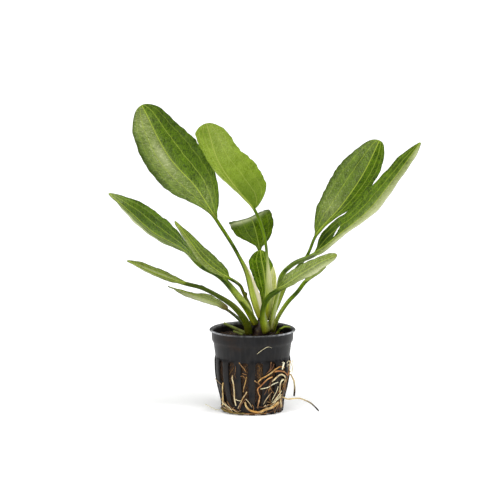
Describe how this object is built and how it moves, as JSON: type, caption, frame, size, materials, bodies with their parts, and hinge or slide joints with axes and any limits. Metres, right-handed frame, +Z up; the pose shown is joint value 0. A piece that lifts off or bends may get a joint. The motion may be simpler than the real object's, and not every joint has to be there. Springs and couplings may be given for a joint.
{
  "type": "potted water plant",
  "caption": "Rosette of broad leaves in a small slotted net pot, with roots growing out through the slots.",
  "frame": {"origin": "centre of the underside of the pot, on the surface it stands on", "axes": "+Z up along the pot's axis, -Y towards the viewer of the picture, +X to the viewer's right"},
  "size_m": [0.1955, 0.0852, 0.19],
  "materials": {
    "moulded_plastic": "satin",
    "peat_fibre": "matte",
    "root_stock": "matte",
    "leaf_green": "satin",
    "young_leaf_green": "satin",
    "pale_sheath": "satin",
    "old_stalk": "matte",
    "golden_root": "satin",
    "pale_root": "satin",
    "white_root": "satin",
    "dark_root": "satin",
    "mossy_root": "satin"
  },
  "bodies": {
    "root": {"net_pot": "moulded_plastic", "growing_plug": "peat_fibre", "crown": "root_stock", "leaf_tall_left": "leaf_green", "leaf_tall_middle": "young_leaf_green", "leaf_arched_back": "leaf_green", "leaf_young_upright": "leaf_green", "leaf_long_left": "leaf_green", "leaf_middle_left": "leaf_green", "leaf_low_left": "leaf_green", "leaf_lowest_left": "leaf_green", "leaf_tall_right": "leaf_green", "leaf_long_right": "leaf_green", "leaf_front_right": "leaf_green", "leaf_hidden_right": "leaf_green", "leaf_bud_sheath": "pale_sheath", "old_strap_right": "old_stalk", "old_stalk_left": "old_stalk", "old_stalk_left_short": "old_stalk", "root_white_right": "white_root", "root_arch_right": "dark_root", "root_knee_right": "pale_root", "root_upright_right": "pale_root", "root_slant_upper": "golden_root", "root_slant_lower": "dark_root", "root_cross_right": "pale_root", "root_under_front": "golden_root", "root_hanging_right": "dark_root", "root_long_loose": "dark_root", "root_outer_left": "golden_root", "root_edge_left": "mossy_root", "root_inner_left": "pale_root", "root_upper_middle": "pale_root", "root_lower_middle": "pale_root", "root_floor_left": "pale_root"}
  },
  "joints": []
}
